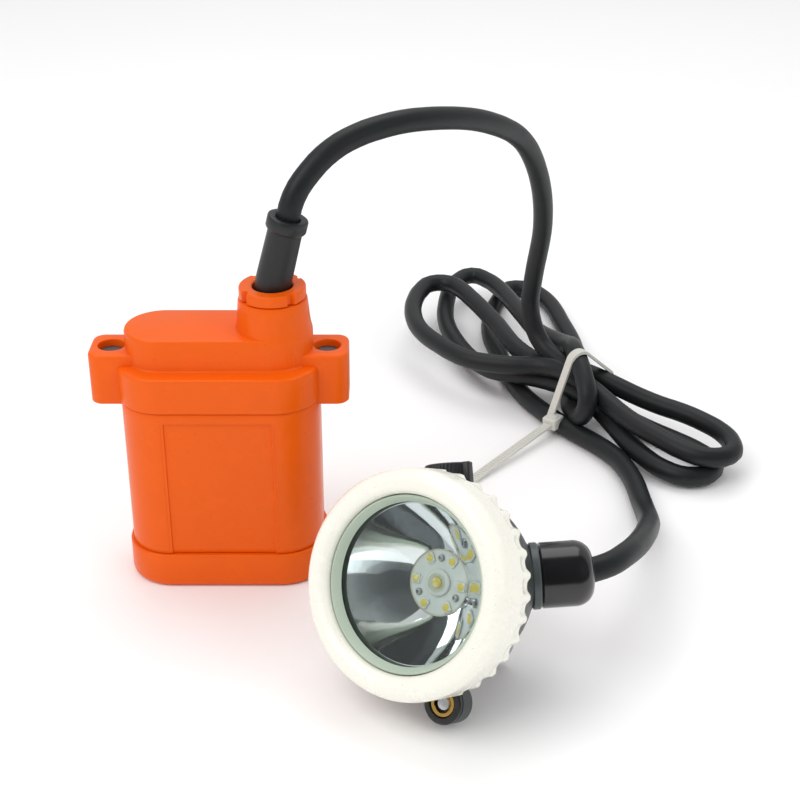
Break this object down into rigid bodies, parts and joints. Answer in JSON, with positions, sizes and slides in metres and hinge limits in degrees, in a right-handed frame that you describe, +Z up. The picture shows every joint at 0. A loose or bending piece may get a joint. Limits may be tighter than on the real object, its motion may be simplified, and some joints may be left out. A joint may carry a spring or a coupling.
{
  "type": "miner's cap lamp",
  "caption": "Corded miner's cap lamp: an orange belt battery pack, a rubber cord coiled and tied, and a round lamp head with a cream bezel, chrome reflector and rotary switch",
  "frame": {"origin": "centre of the battery pack's underside, on the ground", "axes": "+X to the right and +Z up, as seen from in front of the battery pack; +Y away behind it"},
  "size_m": [0.2317, 0.3473, 0.1509],
  "materials": {
    "orange_plastic": "moulded, satin gloss",
    "black_rubber": "moulded rubber",
    "cord_rubber": "extruded sheath, soft sheen",
    "steel": "stainless",
    "cell_sleeve": "shrink sleeve",
    "circuit_board": "solder mask",
    "cream_plastic": "moulded, glossy",
    "gasket_grey": "moulded silicone",
    "clear_glass": "polished",
    "chrome": "vacuum metallised",
    "white_board": "white solder mask",
    "led_yellow": "phosphor",
    "aluminium": "machined",
    "grey_plastic": "fine texture",
    "black_plastic": "satin",
    "brass": "turned",
    "tie_nylon": "natural nylon"
  },
  "bodies": {
    "lamp": {"base_cap": "orange_plastic", "battery_case": "orange_plastic", "case_lid": "orange_plastic", "pack_gland_nut": "orange_plastic", "lid_gasket": "black_rubber", "cell_pad": "black_rubber", "cord_boot": "black_rubber", "rear_seal": "black_rubber", "gland_bush": "black_rubber", "knob_seal": "black_rubber", "cord_arc": "cord_rubber", "cord_bundle_left": "cord_rubber", "cord_bundle_right": "cord_rubber", "cord_tail": "cord_rubber", "ear_screw_left": "steel", "ear_screw_right": "steel", "cell_strip_lower": "steel", "cell_strip_upper": "steel", "gland_washer": "steel", "board_screw_1": "steel", "board_screw_2": "steel", "board_screw_3": "steel", "cover_screw_1": "steel", "cover_screw_2": "steel", "cover_screw_3": "steel", "helmet_hook": "steel", "hook_screw_lower": "steel", "hook_screw_upper": "steel", "charge_pin": "steel", "cell_left": "cell_sleeve", "cell_middle": "cell_sleeve", "cell_right": "cell_sleeve", "protection_board": "circuit_board", "driver_board": "circuit_board", "bezel_ring": "cream_plastic", "lens_gasket": "gasket_grey", "front_lens": "clear_glass", "main_led_dome": "clear_glass", "reflector": "chrome", "led_board": "white_board", "main_led_base": "white_board", "aux_led_1": "led_yellow", "aux_led_2": "led_yellow", "aux_led_3": "led_yellow", "aux_led_4": "led_yellow", "aux_led_5": "led_yellow", "aux_led_6": "led_yellow", "heat_sink": "aluminium", "lamp_housing": "grey_plastic", "rear_cover": "grey_plastic", "gland_collar": "grey_plastic", "lamp_gland_nut": "black_plastic", "switch_body": "black_plastic", "charge_insulator": "black_plastic", "charge_ring_contact": "brass", "cable_tie": "tie_nylon"},
    "switch": {"switch_knob": "black_plastic", "switch_shaft": "steel"}
  },
  "joints": [
    {"name": "switch_turn", "type": "hinge", "parent": "lamp", "child": "switch", "pos_m": [0.07283, -0.04671, 0.05496], "axis": [-0.07, 0.5733, 0.8164], "range_deg": [-60, 60]}
  ]
}
